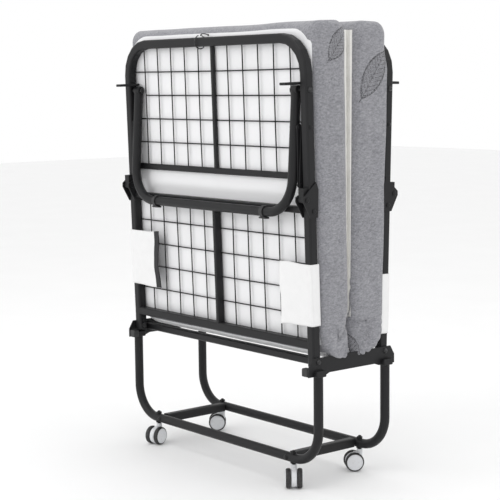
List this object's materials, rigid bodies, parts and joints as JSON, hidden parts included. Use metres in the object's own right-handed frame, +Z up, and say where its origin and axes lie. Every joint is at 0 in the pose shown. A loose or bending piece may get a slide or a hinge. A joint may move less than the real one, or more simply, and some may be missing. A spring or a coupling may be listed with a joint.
{
  "type": "folding rollaway bed",
  "caption": "Folding guest bed stored upright: two hinged wire-deck halves with swing-out legs and a folded mattress on a wheeled base.",
  "frame": {"origin": "on the floor, midway between the two main pivots and the two sides", "axes": "+X along the bed's width to its right side seen from the front, +Y from the front half to the back half, +Z up"},
  "size_m": [0.825, 0.3978, 1.1957],
  "materials": {
    "black_powder_coat": "satin powder coat",
    "dark_bolt": "black oxide",
    "black_plastic": "moulded",
    "caster_grey": "moulded, satin",
    "caster_tread": "smooth tread",
    "grey_knit": "heathered knit",
    "white_webbing": "woven"
  },
  "bodies": {
    "base": {"base_front_u": "black_powder_coat", "base_back_u": "black_powder_coat", "base_crossbar_left": "black_powder_coat", "base_crossbar_right": "black_powder_coat", "side_plate_left": "black_powder_coat", "side_plate_right": "black_powder_coat", "cross_rail_front": "black_powder_coat", "cross_rail_back": "black_powder_coat", "mattress_fold": "grey_knit", "frame_stop_front_left": "black_plastic", "frame_stop_front_right": "black_plastic", "frame_stop_back_left": "black_plastic", "frame_stop_back_right": "black_plastic", "pivot_bolt_front_left": "dark_bolt", "pivot_bolt_front_right": "dark_bolt", "pivot_bolt_back_left": "dark_bolt", "pivot_bolt_back_right": "dark_bolt"},
    "front_half": {"front_upper_frame": "black_powder_coat", "front_lower_frame": "black_powder_coat", "front_upper_mesh": "black_powder_coat", "front_lower_mesh": "black_powder_coat", "front_mattress": "grey_knit", "front_leg_bolt_left": "dark_bolt", "front_leg_bolt_right": "dark_bolt", "front_strap_left": "white_webbing", "front_strap_right": "white_webbing"},
    "front_leg": {"front_leg": "black_powder_coat", "front_leg_glide_left": "black_plastic", "front_leg_glide_right": "black_plastic"},
    "front_brace_upper": {"front_brace_upper_left": "black_powder_coat", "front_brace_upper_right": "black_powder_coat"},
    "front_brace_lower": {"front_brace_lower_left": "black_powder_coat", "front_brace_lower_right": "black_powder_coat"},
    "back_half": {"back_upper_frame": "black_powder_coat", "back_lower_frame": "black_powder_coat", "back_upper_mesh": "black_powder_coat", "back_lower_mesh": "black_powder_coat", "back_mattress": "grey_knit", "back_leg_bolt_left": "dark_bolt", "back_leg_bolt_right": "dark_bolt", "back_strap_left": "white_webbing", "back_strap_right": "white_webbing"},
    "back_leg": {"back_leg": "black_powder_coat", "back_leg_glide_left": "black_plastic", "back_leg_glide_right": "black_plastic"},
    "back_brace_upper": {"back_brace_upper_left": "black_powder_coat", "back_brace_upper_right": "black_powder_coat"},
    "back_brace_lower": {"back_brace_lower_left": "black_powder_coat", "back_brace_lower_right": "black_powder_coat"},
    "caster_front_left_swivel": {"caster_front_left_housing": "caster_grey"},
    "caster_front_left_wheel": {"caster_front_left_wheels": "caster_tread"},
    "caster_front_right_swivel": {"caster_front_right_housing": "caster_grey"},
    "caster_front_right_wheel": {"caster_front_right_wheels": "caster_tread"},
    "caster_back_left_swivel": {"caster_back_left_housing": "caster_grey"},
    "caster_back_left_wheel": {"caster_back_left_wheels": "caster_tread"},
    "caster_back_right_swivel": {"caster_back_right_housing": "caster_grey"},
    "caster_back_right_wheel": {"caster_back_right_wheels": "caster_tread"},
    "latch": {"latch_hook": "dark_bolt"}
  },
  "joints": [
    {"name": "front_fold", "type": "hinge", "parent": "base", "child": "front_half", "pos_m": [0, -0.1185, 0.343], "axis": [1, 0, 0], "range_deg": [0, 89.3]},
    {"name": "front_leg_swing", "type": "hinge", "parent": "front_half", "child": "front_leg", "pos_m": [0, -0.13891, 1.0307], "axis": [-1, 0, 0], "range_deg": [0, 84.8]},
    {"name": "front_brace_upper_swing", "type": "hinge", "parent": "front_half", "child": "front_brace_upper", "pos_m": [0, -0.13615, 0.93774], "axis": [-1, 0, 0], "range_deg": [0, 70]},
    {"name": "front_brace_lower_swing", "type": "hinge", "parent": "front_leg", "child": "front_brace_lower", "pos_m": [0, -0.14459, 0.93787], "axis": [-1, 0, 0], "range_deg": [-70, 0]},
    {"name": "back_fold", "type": "hinge", "parent": "base", "child": "back_half", "pos_m": [0, 0.1185, 0.343], "axis": [-1, 0, 0], "range_deg": [0, 89.3]},
    {"name": "back_leg_swing", "type": "hinge", "parent": "back_half", "child": "back_leg", "pos_m": [0, 0.13891, 1.0307], "axis": [1, 0, 0], "range_deg": [0, 84.8]},
    {"name": "back_brace_upper_swing", "type": "hinge", "parent": "back_half", "child": "back_brace_upper", "pos_m": [0, 0.13615, 0.93774], "axis": [1, 0, 0], "range_deg": [0, 70]},
    {"name": "back_brace_lower_swing", "type": "hinge", "parent": "back_leg", "child": "back_brace_lower", "pos_m": [0, 0.14459, 0.93787], "axis": [1, 0, 0], "range_deg": [-70, 0]},
    {"name": "caster_front_left_swivel", "type": "hinge", "parent": "base", "child": "caster_front_left_swivel", "pos_m": [-0.301, -0.1185, 0.06], "axis": [0, 0, 1], "continuous": true},
    {"name": "caster_front_left_roll", "type": "hinge", "parent": "caster_front_left_swivel", "child": "caster_front_left_wheel", "pos_m": [-0.29632, -0.1338, 0.026], "axis": [0.9563, 0.2924, 0], "continuous": true},
    {"name": "caster_front_right_swivel", "type": "hinge", "parent": "base", "child": "caster_front_right_swivel", "pos_m": [0.301, -0.1185, 0.06], "axis": [0, 0, 1], "continuous": true},
    {"name": "caster_front_right_roll", "type": "hinge", "parent": "caster_front_right_swivel", "child": "caster_front_right_wheel", "pos_m": [0.31326, -0.12879, 0.026], "axis": [0.6428, 0.766, 0], "continuous": true},
    {"name": "caster_back_left_swivel", "type": "hinge", "parent": "base", "child": "caster_back_left_swivel", "pos_m": [-0.301, 0.1185, 0.06], "axis": [0, 0, 1], "continuous": true},
    {"name": "caster_back_left_roll", "type": "hinge", "parent": "caster_back_left_swivel", "child": "caster_back_left_wheel", "pos_m": [-0.31107, 0.10607, 0.026], "axis": [0.7771, -0.6293, 0], "continuous": true},
    {"name": "caster_back_right_swivel", "type": "hinge", "parent": "base", "child": "caster_back_right_swivel", "pos_m": [0.301, 0.1185, 0.06], "axis": [0, 0, 1], "continuous": true},
    {"name": "caster_back_right_roll", "type": "hinge", "parent": "caster_back_right_swivel", "child": "caster_back_right_wheel", "pos_m": [0.29205, 0.10523, 0.026], "axis": [0.829, -0.5592, 0], "continuous": true},
    {"name": "latch_swing", "type": "hinge", "parent": "front_half", "child": "latch", "pos_m": [-0.045, -0.14275, 1.16014], "axis": [1, 0, 0], "range_deg": [0, 100]}
  ],
  "couplings": [
    {"joint": "front_brace_upper_swing", "follows": "front_leg_swing", "ratio": 0.804},
    {"joint": "front_brace_lower_swing", "follows": "front_leg_swing", "ratio": -0.804},
    {"joint": "back_brace_upper_swing", "follows": "back_leg_swing", "ratio": 0.804},
    {"joint": "back_brace_lower_swing", "follows": "back_leg_swing", "ratio": -0.804}
  ]
}
